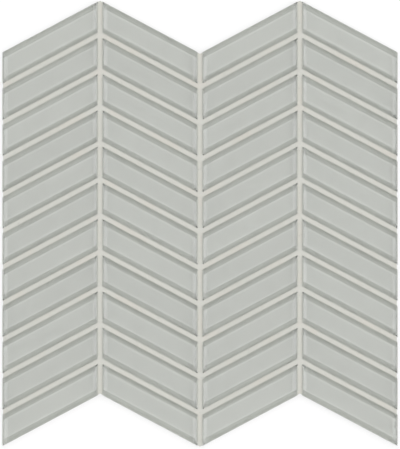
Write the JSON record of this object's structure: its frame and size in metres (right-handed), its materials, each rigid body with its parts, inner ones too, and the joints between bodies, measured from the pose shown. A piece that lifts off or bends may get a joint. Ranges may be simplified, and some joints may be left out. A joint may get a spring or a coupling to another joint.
{
  "type": "chevron mosaic wall tile sheet",
  "caption": "Flat sheet of pale grey back-painted glass chips set in chevron columns, with zigzag ends, filled joints and a thread net on the back, bedded on a wall.",
  "frame": {"origin": "middle of the net's underside, the side that is bedded on the wall", "axes": "+Z out of the glass face, +Y up the columns, +X across the columns"},
  "size_m": [0.3012, 0.34, 0.0087],
  "materials": {
    "painted_glass": "clear glass with polished edges, painted pale grey on its back",
    "joint_cement": "matt pale cement",
    "glass_thread": "off-white glass yarn, stiffened with resin"
  },
  "bodies": {
    "root": {"chip_c1_r01": "painted_glass", "chip_c1_r02": "painted_glass", "chip_c1_r03": "painted_glass", "chip_c1_r04": "painted_glass", "chip_c1_r05": "painted_glass", "chip_c1_r06": "painted_glass", "chip_c1_r07": "painted_glass", "chip_c1_r08": "painted_glass", "chip_c1_r09": "painted_glass", "chip_c1_r10": "painted_glass", "chip_c1_r11": "painted_glass", "chip_c2_r01": "painted_glass", "chip_c2_r02": "painted_glass", "chip_c2_r03": "painted_glass", "chip_c2_r04": "painted_glass", "chip_c2_r05": "painted_glass", "chip_c2_r06": "painted_glass", "chip_c2_r07": "painted_glass", "chip_c2_r08": "painted_glass", "chip_c2_r09": "painted_glass", "chip_c2_r10": "painted_glass", "chip_c2_r11": "painted_glass", "chip_c3_r01": "painted_glass", "chip_c3_r02": "painted_glass", "chip_c3_r03": "painted_glass", "chip_c3_r04": "painted_glass", "chip_c3_r05": "painted_glass", "chip_c3_r06": "painted_glass", "chip_c3_r07": "painted_glass", "chip_c3_r08": "painted_glass", "chip_c3_r09": "painted_glass", "chip_c3_r10": "painted_glass", "chip_c3_r11": "painted_glass", "chip_c4_r01": "painted_glass", "chip_c4_r02": "painted_glass", "chip_c4_r03": "painted_glass", "chip_c4_r04": "painted_glass", "chip_c4_r05": "painted_glass", "chip_c4_r06": "painted_glass", "chip_c4_r07": "painted_glass", "chip_c4_r08": "painted_glass", "chip_c4_r09": "painted_glass", "chip_c4_r10": "painted_glass", "chip_c4_r11": "painted_glass", "joint_filling": "joint_cement", "net_upright_threads": "glass_thread", "net_level_threads": "glass_thread"}
  },
  "joints": []
}
